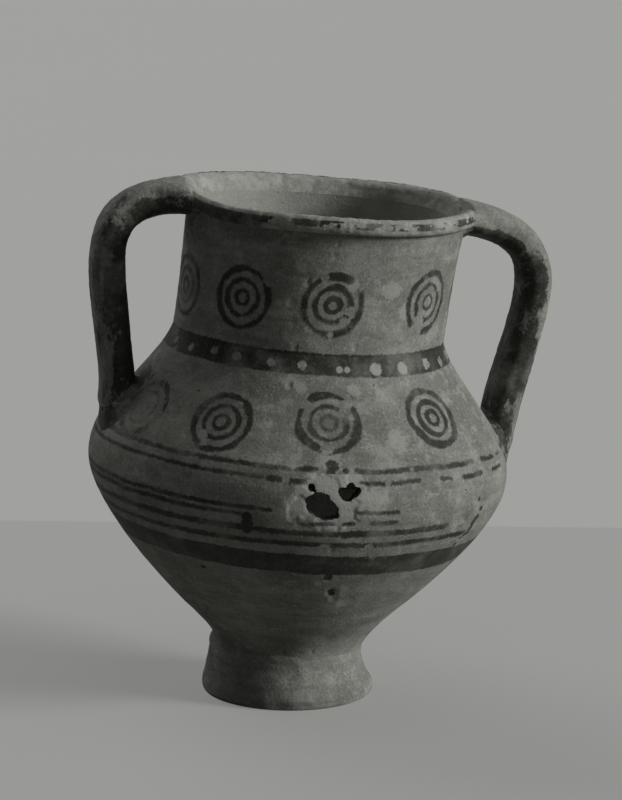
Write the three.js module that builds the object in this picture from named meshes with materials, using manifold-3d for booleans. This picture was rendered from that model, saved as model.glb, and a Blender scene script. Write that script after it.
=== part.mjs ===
// A hand-made two-handled jar of painted earthenware, as the pieces that a potter lutes together.
// Millimetres, +Z up, the handles along X. The jar stands level on its foot and leans towards +X above it.
import * as THREE from 'three';
import { mergeVertices } from 'three/addons/utils/BufferGeometryUtils.js';
import Module from 'manifold-3d';

const wasm = await Module();
wasm.setup();

// Driving dimensions. Above the foot, a rise is measured along the leaning body, up from the waist.
const leanAngle = THREE.MathUtils.degToRad(3.76); // lean of the body, towards the right handle
const slipGap = 0.3; // clearance left for the slip at every luted joint
const facets = 48; // facets round every turned piece

const footHeight = 23.9;
const footRadius = 41.6; // the foot where it spreads most
const footSpreadHeight = 4; // height of that spread above the ground
const footEdgeRound = 1.2; // how far the resting edge is rounded in
const footRingWidth = 9; // breadth of the ring that the jar stands on
const footHollowDepth = 15;
const footHollowTaper = 8; // how much narrower the hollow is at its top
const waistCoilRadius = 1.7; // section of the luting coil in the waist
const waistGroove = 1.2; // depth of the groove that the coil lies in

const waistRadius = 36;
const rootRise = 18; // height of the hollow curve above the waist
const rootSpread = 13.7; // how far the belly spreads over that height
const bellyRadius = 101; // the widest girth
const bellyRise = 89;
const girthRound = 22; // how far below the girth the lower slope begins to turn
const bodyWall = 6;
const bellyFloor = 9;

const turnRise = 105; // the seam where the belly turns into the shoulder
const turnDrop = 3.6; // how much narrower the jar is there than at its girth
const turnRound = 7.7; // length of the bend below the seam
const seamCoilRadius = 3.4; // section of the luting coil inside that seam

const shoulderRise = 48; // from the seam up to the neck's seat
const shoulderSlope = 0.72; // radius lost for each rise at the foot of the shoulder
const shoulderRun = 31.8; // length of the straight run
const neckRootRound = 12.4; // height of the hollow curve below the neck
const neckRootSpread = 4;

const neckRadius = 64.6;
const neckHeight = 58;
const neckWall = 5;
const neckFlare = 2; // how much wider the neck is at its top
const neckDrift = 4.4; // how far the neck's top stands off the body's axis

const rimHeight = 8;
const rimOverhang = 5; // how far the lip stands out over the neck
const rimCrestInset = 2.2; // from the lip's outer face in to its crest
const mouthFlare = 2.4; // how much wider the mouth is than the neck's bore

// Each handle has its own sizes. Its reach runs from the body's axis to the middle of its bow, and its
// drops run down from the lip to its upper end and from the neck's seat to its lower end.
const leftThickness = 17.6;
const leftReach = 100;
const leftRimDrop = 2.8;
const leftSeatDrop = 37;
const leftBowHeight = 44; // how far above its lower end the strap begins to bend over
const rightThickness = 19.2;
const rightReach = 109.4;
const rightRimDrop = 8.6;
const rightSeatDrop = 46;
const rightBowHeight = 52;
const handleWidth = 23; // across the strap, round the jar
const handleEndDepth = 14; // how far a strap runs on down past its seat before it is trimmed to the wall
const handleEndDive = 8; // how far it leans into the wall over that length
const handleTopFall = 2; // how far the strap falls from the lip to its bend
const handleLowerLean = 6; // how far the strap's lower run is pulled out over its seat
const luteRise = 7; // how far a luting wad stands off the wall
const luteSpread = 7; // how far it spreads to each side of the handle
const luteCover = 2; // how far it laps over the handle's top and underside

// Two losses where the belly's wall is broken through, each at its angle round the jar and below the seam.
const largeLossAngle = THREE.MathUtils.degToRad(-96);
const largeLossDrop = 14;
const largeLossWidth = 12.4;
const largeLossHeight = 11;
const smallLossAngle = THREE.MathUtils.degToRad(-89);
const smallLossDrop = 7.6;
const smallLossWidth = 10;
const smallLossHeight = 7.4;

// Heights and radii that follow from them.
const neckSeat = turnRise + shoulderRise;
const rimSeat = neckSeat + neckHeight;
const crestRise = rimSeat + rimHeight;
const turnRadius = bellyRadius - turnDrop;
const neckTopRadius = neckRadius + neckFlare;
const rimRadius = neckTopRadius + rimOverhang;
const crestRadius = rimRadius - rimCrestInset;
const boreRadius = neckTopRadius - neckWall;
const mouthRadius = boreRadius + mouthFlare;

const handles = [
  {
    name: 'left',
    side: -1,
    thickness: leftThickness,
    reach: leftReach,
    rimDrop: leftRimDrop,
    seatDrop: leftSeatDrop,
    bowHeight: leftBowHeight,
  },
  {
    name: 'right',
    side: 1,
    thickness: rightThickness,
    reach: rightReach,
    rimDrop: rightRimDrop,
    seatDrop: rightSeatDrop,
    bowHeight: rightBowHeight,
  },
];

// The phase turns the ragged outline, so that no two losses look alike.
const losses = [
  { angle: largeLossAngle, drop: largeLossDrop, width: largeLossWidth, height: largeLossHeight, phase: 0.4 },
  { angle: smallLossAngle, drop: smallLossDrop, width: smallLossWidth, height: smallLossHeight, phase: 2.1 },
];

const clay = new THREE.MeshStandardMaterial({ color: 0x8c877c, roughness: 0.88, metalness: 0 });
const lute = new THREE.MeshStandardMaterial({ color: 0x6b675e, roughness: 0.92, metalness: 0 });
const paintedClay = new THREE.MeshStandardMaterial({ color: 0x403d37, roughness: 0.75, metalness: 0 });

// Closed meshes: only positions, corners shared, no collapsed triangles.
function weld(geometry) {
  const bare = geometry.clone();
  bare.deleteAttribute('normal');
  bare.deleteAttribute('uv');
  const merged = mergeVertices(bare, 1e-4);
  const kept = [];
  for (let i = 0; i < merged.index.count; i += 3) {
    const corners = [0, 1, 2].map((k) => merged.index.getX(i + k));
    if (new Set(corners).size === 3) kept.push(...corners);
  }
  merged.setIndex(kept);
  return merged;
}

function solidOf(geometry) {
  const closed = weld(geometry);
  const vertProperties = new Float32Array(closed.attributes.position.array);
  const triVerts = new Uint32Array(closed.index.array);
  return new wasm.Manifold(new wasm.Mesh({ numProp: 3, vertProperties, triVerts }));
}

function geometryOf(solid) {
  const { vertProperties, triVerts } = solid.getMesh();
  const geometry = new THREE.BufferGeometry();
  geometry.setAttribute('position', new THREE.BufferAttribute(vertProperties, 3));
  geometry.setIndex(new THREE.BufferAttribute(triVerts, 1));
  return geometry;
}

function point(radius, rise) {
  return new THREE.Vector2(radius, rise);
}

// A turned piece: the profile holds (radius, rise) points, up the outside and down the inside.
function turned(profile) {
  return weld(new THREE.LatheGeometry(profile, facets).rotateX(Math.PI / 2));
}

// A profile's points moved inwards, each square to the profile.
function offsetInward(profile, distance) {
  return profile.map((here, i) => {
    const before = profile[Math.max(i - 1, 0)];
    const after = profile[Math.min(i + 1, profile.length - 1)];
    const along = after.clone().sub(before).normalize();
    return point(here.x - along.y * distance, here.y + along.x * distance);
  });
}

// The neck stands off the body's axis, so what is above its seat moves sideways with its height.
function drift(geometry) {
  const place = geometry.attributes.position;
  for (let i = 0; i < place.count; i += 1) {
    const share = THREE.MathUtils.clamp((place.getZ(i) - neckSeat) / neckHeight, 0, 1);
    place.setX(i, place.getX(i) + neckDrift * share);
  }
  return geometry;
}

// The belly's outside: a hollow root, a long lower slope, the girth and the bend to the seam.
function bellyOutline() {
  const rootRadius = waistRadius + rootSpread;
  const slopeEnd = bellyRise - girthRound;
  const lowerSlope = (bellyRadius - rootRadius) / (slopeEnd - rootRise);
  const outline = new THREE.Path();
  outline.moveTo(waistRadius, 0);
  outline.quadraticCurveTo(waistRadius, rootRise - rootSpread / lowerSlope, rootRadius, rootRise);
  outline.quadraticCurveTo(bellyRadius, slopeEnd, bellyRadius, bellyRise);
  outline.quadraticCurveTo(bellyRadius, turnRise - turnRound, turnRadius, turnRise);
  return outline.getSpacedPoints(13);
}

// The shoulder's outside: a straight run, then a hollow curve up to the neck.
function shoulderOutline() {
  const outline = new THREE.Path();
  outline.moveTo(turnRadius, turnRise);
  outline.bezierCurveTo(
    turnRadius - shoulderSlope * shoulderRun, turnRise + shoulderRun,
    neckRadius + neckRootSpread, neckSeat - neckRootRound,
    neckRadius, neckSeat,
  );
  return outline.getSpacedPoints(7);
}

function neckOutline() {
  const outline = new THREE.Path();
  outline.moveTo(neckRadius, neckSeat);
  outline.quadraticCurveTo(neckRadius, neckSeat + neckHeight / 2, neckTopRadius, rimSeat);
  return outline.getPoints(4);
}

const bellyProfile = bellyOutline();
const shoulderProfile = shoulderOutline();
const neckProfile = neckOutline();

// The radius of the body's outside at a given rise, and the way that the outside faces there.
function wallAt(rise) {
  const profile = [...bellyProfile, ...shoulderProfile.slice(1)];
  const high = profile.findIndex((p) => p.y > rise);
  const from = profile[high - 1];
  const to = profile[high];
  const along = to.clone().sub(from).normalize();
  const radius = THREE.MathUtils.mapLinear(rise, from.y, to.y, from.x, to.x);
  return { radius, facing: point(along.y, -along.x) };
}

// The foot is level at its base, and its rings tilt more with height until they meet the leaning body.
function footGeometry() {
  const ringRadius = footRadius - footEdgeRound - footRingWidth;
  const grooveRadius = waistRadius - waistGroove;
  const grooveHeight = footHeight - 2 * waistCoilRadius;
  const middle = (footSpreadHeight + grooveHeight) / 2;
  const outline = new THREE.Path();
  outline.moveTo(0, footHollowDepth);
  outline.lineTo(ringRadius - footHollowTaper, footHollowDepth);
  outline.quadraticCurveTo(ringRadius, footHollowDepth, ringRadius, 0);
  outline.lineTo(footRadius - footEdgeRound, 0);
  outline.quadraticCurveTo(footRadius, 0, footRadius, footSpreadHeight);
  outline.bezierCurveTo(footRadius, middle, grooveRadius, middle, grooveRadius, grooveHeight);
  outline.lineTo(grooveRadius, footHeight);
  outline.lineTo(0, footHeight);
  const foot = turned(outline.getPoints(4));
  const place = foot.attributes.position;
  for (let i = 0; i < place.count; i += 1) {
    const tilt = (leanAngle * place.getZ(i)) / footHeight;
    const x = place.getX(i);
    place.setX(i, x * Math.cos(tilt));
    place.setZ(i, place.getZ(i) - x * Math.sin(tilt));
  }
  return foot;
}

// A luting coil: a ring of round section.
function coilGeometry(centre, radius) {
  return turned(new THREE.EllipseCurve(centre.x, centre.y, radius, radius).getPoints(8));
}

function waistCoilGeometry() {
  const centre = point(waistRadius - waistGroove + slipGap + waistCoilRadius, -waistCoilRadius);
  return coilGeometry(centre, waistCoilRadius);
}

function seamCoilGeometry() {
  const inset = bodyWall + slipGap + seamCoilRadius;
  return coilGeometry(offsetInward(bellyProfile, inset).at(-1), seamCoilRadius);
}

// A ragged plug that reaches right through the belly's wall.
function lossGeometry({ angle, drop, width, height, phase }) {
  const corners = 11;
  const outline = [];
  for (let i = 0; i < corners; i += 1) {
    const a = (i / corners) * 2 * Math.PI;
    const ragged = 1 + 0.07 * Math.sin(3 * a + phase) - 0.09 * Math.cos(2 * a - phase);
    outline.push(point((width / 2) * ragged * Math.cos(a), (height / 2) * ragged * Math.sin(a)));
  }
  const reach = { depth: 4 * bodyWall, bevelEnabled: false };
  const plug = new THREE.ExtrudeGeometry(new THREE.Shape(outline), reach);
  plug.translate(0, 0, bellyRadius - 3 * bodyWall);
  plug.rotateX(Math.PI / 2);
  plug.rotateZ(angle + Math.PI / 2);
  return plug.translate(0, 0, turnRise - drop);
}

function bellyGeometry() {
  const outside = bellyProfile.map((p) => p.clone());
  outside[0].y = slipGap;
  const inside = offsetInward(bellyProfile, bodyWall).filter((p) => p.y > bellyFloor);
  inside.at(-1).y = turnRise;
  const floorRadius = inside[0].x - bodyWall / 2;
  const floor = [point(floorRadius, bellyFloor), point(0, bellyFloor)];
  let solid = solidOf(turned([point(0, slipGap), ...outside, ...inside.reverse(), ...floor]));
  for (const loss of losses) {
    solid = solid.subtract(solidOf(lossGeometry(loss)));
  }
  return geometryOf(solid);
}

function shoulderGeometry() {
  const outside = shoulderProfile.map((p) => p.clone());
  const inside = offsetInward(shoulderProfile, bodyWall);
  outside[0].y = turnRise + slipGap;
  inside[0].y = turnRise + slipGap;
  inside[inside.length - 1] = point(neckRadius - neckWall, neckSeat);
  return turned([...outside, ...inside.reverse(), outside[0].clone()]);
}

function neckGeometry() {
  const outside = neckProfile.map((p) => p.clone());
  outside[0].y = neckSeat + slipGap;
  const inside = outside.map((p) => point(p.x - neckWall, p.y));
  return drift(turned([...outside, ...inside.reverse(), outside[0].clone()]));
}

function rimGeometry() {
  const low = rimSeat + slipGap;
  const lip = new THREE.Path();
  lip.moveTo(boreRadius, low);
  lip.lineTo(rimRadius - rimCrestInset / 2, low);
  lip.quadraticCurveTo(rimRadius, low, rimRadius, low + rimHeight / 3);
  lip.quadraticCurveTo(rimRadius, crestRise, crestRadius, crestRise);
  lip.quadraticCurveTo(mouthRadius, crestRise, mouthRadius, crestRise - rimHeight / 2);
  lip.lineTo(boreRadius, low);
  return drift(turned(lip.getPoints(3)));
}

// The jar's whole outside without its handles, grown by the slip gap: what the handles are trimmed to.
// Above the lip it goes on up as a core, so that nothing hangs over the mouth.
function outerWall() {
  const lowest = bellyProfile[0];
  const grown = [...bellyProfile, ...shoulderProfile.slice(1), ...neckProfile.slice(1, -1)].map(
    (p) => point(p.x + slipGap * Math.SQRT2, p.y),
  );
  const overLip = crestRise + rimRadius;
  const profile = [
    point(0, lowest.y),
    ...grown,
    point(neckTopRadius + slipGap, rimSeat - slipGap),
    point(rimRadius + slipGap, rimSeat - slipGap),
    point(rimRadius + slipGap, crestRise + slipGap),
    point(crestRadius, crestRise + slipGap),
    point(crestRadius, overLip),
    point(0, overLip),
  ];
  return solidOf(drift(turned(profile)));
}

// A handle's path, in the plane of both handles: out from the lip, over its bow and down to the shoulder.
function handlePath({ side, reach, rimDrop, seatDrop, bowHeight }) {
  const seatRise = neckSeat - seatDrop;
  const start = point(crestRadius, crestRise - rimDrop);
  const seatRadius = wallAt(seatRise).radius;
  const end = point(seatRadius - handleEndDive, seatRise - handleEndDepth);
  const lowPull = point(seatRadius + handleLowerLean, seatRise + bowHeight);
  const highPull = point((8 * reach - start.x - end.x) / 3 - lowPull.x, start.y - handleTopFall);
  const corners = [start, highPull, lowPull, end].map((p) => new THREE.Vector3(side * p.x, 0, p.y));
  corners[0].x += neckDrift;
  return new THREE.CubicBezierCurve3(...corners);
}

function strapGeometry(path, width, thickness) {
  const section = new THREE.Shape();
  section.absellipse(0, 0, width / 2, thickness / 2, 0, 2 * Math.PI);
  const sweep = { extrudePath: path, steps: 18, curveSegments: 7, bevelEnabled: false };
  return new THREE.ExtrudeGeometry(section, sweep);
}

// A low wad of clay on the wall round a handle's end. The strap meets the wall at a slant,
// so the wad is as long as the strap's slanting footprint.
function wadGeometry(handle, radius, rise, facing, heading) {
  const outward = new THREE.Vector3(handle.side * facing.x, 0, facing.y);
  const footprint = handle.thickness / 2 / Math.abs(outward.dot(heading));
  const wad = new THREE.SphereGeometry(1, 18, 10);
  wad.scale(luteRise, handleWidth / 2 + luteSpread, footprint + luteCover);
  wad.rotateY(-Math.atan2(outward.z, outward.x));
  return wad.translate(handle.side * radius, 0, rise);
}

function named(name, geometry, material) {
  const mesh = new THREE.Mesh(geometry, material);
  mesh.name = name;
  geometry.computeVertexNormals();
  return mesh;
}

const jar = new THREE.Group();
jar.add(named('foot', footGeometry(), clay));

const body = new THREE.Group();
body.position.z = footHeight;
body.rotation.y = leanAngle;
jar.add(body);
body.add(named('foot_luting_coil', waistCoilGeometry(), lute));
body.add(named('belly', bellyGeometry(), clay));
body.add(named('belly_luting_coil', seamCoilGeometry(), lute));
body.add(named('shoulder', shoulderGeometry(), clay));
body.add(named('neck', neckGeometry(), clay));
body.add(named('rim', rimGeometry(), clay));

const wall = outerWall();
for (const handle of handles) {
  const { name, thickness, rimDrop, seatDrop } = handle;
  const path = handlePath(handle);
  const strap = solidOf(strapGeometry(path, handleWidth, thickness));
  const strapRoom = solidOf(strapGeometry(path, handleWidth + 2 * slipGap, thickness + 2 * slipGap));
  body.add(named(`${name}_handle`, geometryOf(strap.subtract(wall)), paintedClay));

  const rimWad = wadGeometry(handle, rimRadius, crestRise - rimDrop, point(1, 0), path.getTangent(0));
  const rimLuting = solidOf(rimWad.translate(neckDrift, 0, 0)).subtract(strapRoom).subtract(wall);
  body.add(named(`${name}_handle_rim_luting`, geometryOf(rimLuting), lute));

  const seatRise = neckSeat - seatDrop;
  const seat = wallAt(seatRise);
  const seatWad = wadGeometry(handle, seat.radius, seatRise, seat.facing, path.getTangent(1));
  const seatLuting = solidOf(seatWad).subtract(strapRoom).subtract(wall);
  body.add(named(`${name}_handle_shoulder_luting`, geometryOf(seatLuting), lute));
}

// The origin is on the ground, in the middle of the jar's width.
jar.updateMatrixWorld(true);
const middle = new THREE.Box3().setFromObject(jar, true).getCenter(new THREE.Vector3());
jar.position.set(-middle.x, -middle.y, 0);

export default jar;
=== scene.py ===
import math

import bpy
import numpy as np
from mathutils import Matrix, Vector


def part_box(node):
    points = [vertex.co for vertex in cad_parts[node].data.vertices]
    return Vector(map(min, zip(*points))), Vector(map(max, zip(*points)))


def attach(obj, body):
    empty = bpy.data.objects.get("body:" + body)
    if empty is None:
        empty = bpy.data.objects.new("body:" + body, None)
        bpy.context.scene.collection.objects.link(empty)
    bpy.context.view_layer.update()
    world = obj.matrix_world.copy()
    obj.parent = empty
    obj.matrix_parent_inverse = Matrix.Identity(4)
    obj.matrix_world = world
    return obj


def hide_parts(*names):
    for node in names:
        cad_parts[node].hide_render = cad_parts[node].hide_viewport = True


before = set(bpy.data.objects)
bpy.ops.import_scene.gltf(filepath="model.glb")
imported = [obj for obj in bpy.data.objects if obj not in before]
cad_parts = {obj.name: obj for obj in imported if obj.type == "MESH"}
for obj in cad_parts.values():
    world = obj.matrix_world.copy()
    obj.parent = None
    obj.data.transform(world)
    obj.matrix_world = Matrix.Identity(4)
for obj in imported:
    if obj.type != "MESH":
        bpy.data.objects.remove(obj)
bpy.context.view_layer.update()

footLow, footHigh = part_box("foot")
footMiddle = (footLow.x + footHigh.x) / 2
print("jar: loaded", len(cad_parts), "solids")

mm = 0.001
jar = {
    "lean": math.radians(3.76),  # the body leans towards the right handle
    "footHeight": 23.9,  # mm from the ground to the waist; rises below count up from the waist
    "seam": 105.0,  # belly to shoulder
    "neckSeat": 153.0,
    "rimSeat": 211.0,
    "crest": 219.0,
    "neckDrift": 4.4,  # the neck's top stands off the body's axis
    "footShift": 2.0, "shiftStart": 1.0, "shiftEnd": 24.0,  # the foot sits a little to the right
    "lipBends": [  # up or down, angle, spread
        (1.8, 135.0, 50.0), (-1.6, -138.0, 32.0),  # high behind the left handle and low before it
        (2.6, 171.0, 24.0), (1.1, 18.0, 38.0),  # drawn up to the left strap, and a little to the right one
        (-2.2, -8.0, 19.0), (-1.3, -66.0, 30.0),  # pressed under the right strap's tip, low in front
    ],
    "liftStart": 188.0, "liftEnd": 216.0,
    "sharpAngle": 50.0, "feel": 0.4,  # degrees, and mm either way to find how the wall faces
    "ringGap": 1.3,  # mm between rings
    "columnGap": 1.05, "fineGap": 0.4,  # degrees between columns, finer round the breaks
    "fineFrom": -107.0, "fineTo": -79.0, "fineLow": 80.0, "fineHigh": 105.0,
}
columns = np.radians(np.r_[
    np.arange(jar["fineFrom"], jar["fineTo"], jar["fineGap"]),
    np.arange(jar["fineTo"], jar["fineFrom"] + 360 - 0.1, jar["columnGap"]),
])


# the touch of the hand: soft noise, pits, and how the jar stands
throwing = {
    "seed": 11, "lattice": 32,
    "swell": 0.5, "swellSize": 70.0,
    "dimple": 0.22, "dimpleSize": 24.0,
    "streak": 0.12, "streakSize": 3.2, "streakRun": 0.12,  # throwing lines run round the jar
    "grain": 0.05, "grainSize": 2.6,
    "pits": 170, "pitRise": (3, 207), "pitRadius": (0.8, 2.0), "pitDepth": (0.2, 0.7),
}
rng = np.random.default_rng(throwing["seed"])
lattice = rng.random((throwing["lattice"],) * 3)


def softNoise(points, size):
    spot = np.asarray(points, float) / size
    cell = np.floor(spot).astype(int)
    part = spot - cell
    part = part * part * (3 - 2 * part)
    total = np.zeros(len(spot))
    for corner in np.ndindex(2, 2, 2):
        share = np.prod(np.where(corner, part, 1 - part), axis=1)
        a, b, c = ((cell + corner) % throwing["lattice"]).T
        total += share * lattice[a, b, c]
    return total * 2 - 1


def smooth(value, low, high):
    share = np.clip((np.asarray(value, float) - low) / (high - low), 0, 1)
    return share * share * (3 - 2 * share)


def hump(angle, middle, spread):
    off = (np.degrees(angle) - middle + 180) % 360 - 180
    return np.exp(-(off / spread) ** 2)


def bendAt(corners, t):
    t = np.asarray(t, float)[:, None]
    points = [np.array(c, float)[None] for c in corners]
    while len(points) > 1:
        points = [a + (b - a) * t for a, b in zip(points, points[1:])]
    return points[0]


def bend(corners, count=120):
    return bendAt(corners, np.linspace(0, 1, count))


def evenSteps(path, step):
    fine = (path[:, 1] > jar["fineLow"]) & (path[:, 1] < jar["fineHigh"])
    weight = np.where(fine, 2.0, 1.0)
    runs = np.hypot(*np.diff(path, axis=0).T) * (weight[1:] + weight[:-1]) / 2
    runs = np.r_[0, np.cumsum(runs)]
    marks = np.linspace(0, runs[-1], int(round(runs[-1] / step)) + 1)
    return np.column_stack([np.interp(marks, runs, path[:, k]) for k in (0, 1)])


def inward(path, wall):
    along = np.gradient(path, axis=0)
    along /= np.hypot(*along.T)[:, None]
    return path + wall * np.column_stack((-along[:, 1], along[:, 0]))


# the jar's outside, radius and rise in mm
outline = {
    "waist": 36.0, "rootPull": 4.9, "root": (49.7, 18.0),
    "girth": 101.0, "girthPull": 67.0, "girthRise": 89.0,
    "turn": 97.4, "turnPull": 97.3,
    "shoulderPull": (74.5, 136.8), "neckPull": (68.6, 140.6),
    "neck": 64.6, "neckTop": 66.6,
    "rim": 71.6, "crestRadius": 69.4, "mouth": 64.0, "bore": 61.6,
    "lipRound": 1.1, "lipTurn": 3.0, "mouthEase": 0.4, "mouthInset": 0.6, "mouthDrop": 4.0,
    "bodyWall": 6.0, "neckWall": 5.0, "floor": 9.0,
}
o = outline
girthSpot, turnSpot = (o["girth"], o["girthRise"]), (o["turn"], jar["seam"])
neckFoot, neckTop = (o["neck"], jar["neckSeat"]), (o["neckTop"], jar["rimSeat"])
bellyLine = evenSteps(np.vstack((
    bend([(o["waist"], 0), (o["waist"], o["rootPull"]), o["root"]]),
    bend([o["root"], (o["girth"], o["girthPull"]), girthSpot])[1:],
    bend([girthSpot, (o["girth"], o["turnPull"]), turnSpot])[1:],
)), jar["ringGap"])
shoulderLine = evenSteps(bend([turnSpot, o["shoulderPull"], o["neckPull"], neckFoot]), jar["ringGap"])
neckLine = evenSteps(bend([neckFoot, (o["neck"], (neckFoot[1] + neckTop[1]) / 2), neckTop]), jar["ringGap"])
lipSide, lipTop = (o["rim"], jar["rimSeat"] + o["lipTurn"]), (o["crestRadius"], jar["crest"])
lipLow = (o["rim"] - o["lipRound"], jar["rimSeat"] + 0.02)  # a hair over the seat
lipLine = np.vstack((
    bend([lipLow, (o["rim"], jar["rimSeat"] + 0.05), lipSide], 8),
    bend([lipSide, (o["rim"], jar["crest"]), lipTop], 8)[1:],
))
wallLine = np.vstack((bellyLine, shoulderLine[1:], neckLine[1:], lipLine))
mouthPull = (o["mouth"] + o["mouthEase"], jar["crest"] - o["mouthEase"])
mouthLow = (o["mouth"] - o["mouthInset"], jar["crest"] - o["mouthDrop"])
mouthLine = np.vstack((
    bend([lipTop, mouthPull, mouthLow], 8),
    [(o["bore"], jar["rimSeat"]), (o["neck"] - o["neckWall"], jar["neckSeat"])],
))


def wallRadius(rise):
    return np.interp(rise, wallLine[:, 1], wallLine[:, 0])


def mouthRadius(rise):
    return np.interp(rise, mouthLine[::-1, 1], mouthLine[::-1, 0], left=0)


def onWall(angle, rise):
    turn = math.radians(angle)
    radius = float(wallRadius(rise))
    return (radius * math.cos(turn), radius * math.sin(turn), rise)


# scars on the front: angle, rise, radius, depth
scars = [
    (-87.1, 44.0, 3.4, 1.5), (-85.6, 40.5, 2.6, 0.8), (-80.0, 37.6, 4.5, 0.4), (-90.3, 52.0, 1.8, 0.5),
    (-132.6, 50.9, 1.5, 0.9), (-108.2, 139.6, 1.6, 1.0),
    (-106.5, 187.0, 1.4, 0.9), (-42.1, 84.1, 1.2, 0.6), (-42.6, 90.5, 1.1, 0.5), (-112.5, 176.5, 2.0, 0.5),
    (-110.5, 168.0, 1.6, 0.4),
]


def scatterPits():
    found = []
    for _ in range(throwing["pits"]):
        spot = np.array(onWall(rng.uniform(-180, 180), rng.uniform(*throwing["pitRise"])))
        found.append((spot, rng.uniform(*throwing["pitRadius"]), rng.uniform(*throwing["pitDepth"])))
    return found + [(np.array(onWall(a, s)), r, d) for a, s, r, d in scars]


pitList = scatterPits()
# spalled skin round the breaks: angle, rise, radius
spalls = {
    "spots": [(-96, 98, 9.0), (-92, 88, 10.0), (-101, 89, 7.0), (-87, 103, 5.0)],
    "depth": 0.5, "edge": (1.0, 0.82), "rough": ((0.35, 4.0), (0.25, 1.9)),  # ragged edge: share and size
}


def pitDepth(points):
    depth = np.zeros(len(points))
    for spot, radius, deep in pitList:
        near = np.sum((points - spot) ** 2, axis=1) / radius ** 2
        depth = np.maximum(depth, deep * np.clip(1 - near, 0, 1))
    return depth


def spallDepth(points):
    depth = np.zeros(len(points))
    edge = sum(share * softNoise(points, size) for share, size in spalls["rough"])
    for angle, rise, radius in spalls["spots"]:
        near = np.linalg.norm(points - np.array(onWall(angle, rise)), axis=1) / radius + edge
        depth = np.maximum(depth, spalls["depth"] * smooth(near, *spalls["edge"]))
    return depth


def unevenness(points):
    t = throwing
    run = points * (t["streakRun"], t["streakRun"], 1.0)
    total = t["swell"] * softNoise(points, t["swellSize"])
    total += t["dimple"] * softNoise(points, t["dimpleSize"])
    total += t["streak"] * softNoise(run, t["streakSize"])
    return total + t["grain"] * softNoise(points, t["grainSize"])


def lipRise(points):
    angle = np.arctan2(points[:, 1], points[:, 0])
    lift = sum(height * hump(angle, middle, spread) for height, middle, spread in jar["lipBends"])
    return lift * smooth(points[:, 2], jar["liftStart"], jar["liftEnd"])


def sideways(rise):
    above = np.clip((rise - jar["neckSeat"]) / (jar["rimSeat"] - jar["neckSeat"]), 0, 1)
    below = 1 - smooth(rise, jar["shiftStart"], jar["shiftEnd"])
    return jar["neckDrift"] * above + jar["footShift"] * below


def formed(points, out, skin):
    worn = skin * (pitDepth(points) + spallDepth(points))
    moved = points + out * (unevenness(points) - worn)[:, None]
    moved[:, 0] += sideways(points[:, 2])
    moved[:, 2] += lipRise(points)
    return moved


def stand(points):
    u, v, s = points.T
    tilt = jar["lean"] * np.clip(1 + s / jar["footHeight"], 0, 1)  # the foot's rings tilt up into the lean
    up = np.maximum(s, 0)
    x = u * np.cos(tilt) + up * math.sin(jar["lean"])
    z = jar["footHeight"] + np.minimum(s, 0) + up * math.cos(jar["lean"]) - u * np.sin(tilt)
    return np.column_stack((x * mm + footMiddle, v * mm, z * mm))


def mark(mesh, name, domain, values):
    values = np.asarray(values, np.float32)
    kind, key = ("FLOAT", "value") if values.ndim == 1 else ("FLOAT_VECTOR", "vector")
    mesh.attributes.new(name, kind, domain).data.foreach_set(key, values.ravel())


def makePiece(name, node, points, faces, place, skin, broken=None):
    mesh = bpy.data.meshes.new(name)
    mesh.from_pydata(stand(points).tolist(), [], [list(map(int, f)) for f in faces])
    mesh.validate()
    mark(mesh, "potter", "POINT", place)  # the jar before it warped
    mark(mesh, "outside", "POINT", skin)  # 1 where paint may lie
    if broken is not None:
        mark(mesh, "broken", "FACE", broken)  # 1 on the faces of a break
    mesh.shade_smooth()
    mesh.set_sharp_from_angle(angle=math.radians(jar["sharpAngle"]))
    piece = bpy.data.objects.new(name, mesh)
    bpy.context.scene.collection.objects.link(piece)
    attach(piece, "root")
    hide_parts(node)
    return piece


def gridFaces(rows, around, closed=False):
    i = np.arange(rows if closed else rows - 1)
    a, b = np.meshgrid(i, np.arange(around), indexing="ij")
    c, d = (a + 1) % rows, (b + 1) % around
    return np.stack((a * around + b, a * around + d, c * around + d, c * around + b), -1)


def loopFaces(loop):
    return gridFaces(len(loop), len(columns), closed=True).reshape(-1, 4)


def capFan(ring, pole, around, up):
    j = np.arange(around)
    k = (j + 1) % around
    first, second = (j, k) if up else (k, j)
    return np.column_stack((ring * around + first, ring * around + second, np.full(around, pole)))


def turnedPoints(loop):
    radius, rise = loop[:, :1], loop[:, 1:]
    grid = np.stack((radius * np.cos(columns), radius * np.sin(columns), rise + 0 * columns), -1)
    out = np.stack((np.cos(columns), np.sin(columns), 0 * columns), -1)
    return grid.reshape(-1, 3), np.broadcast_to(out, grid.shape).reshape(-1, 3)


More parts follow.
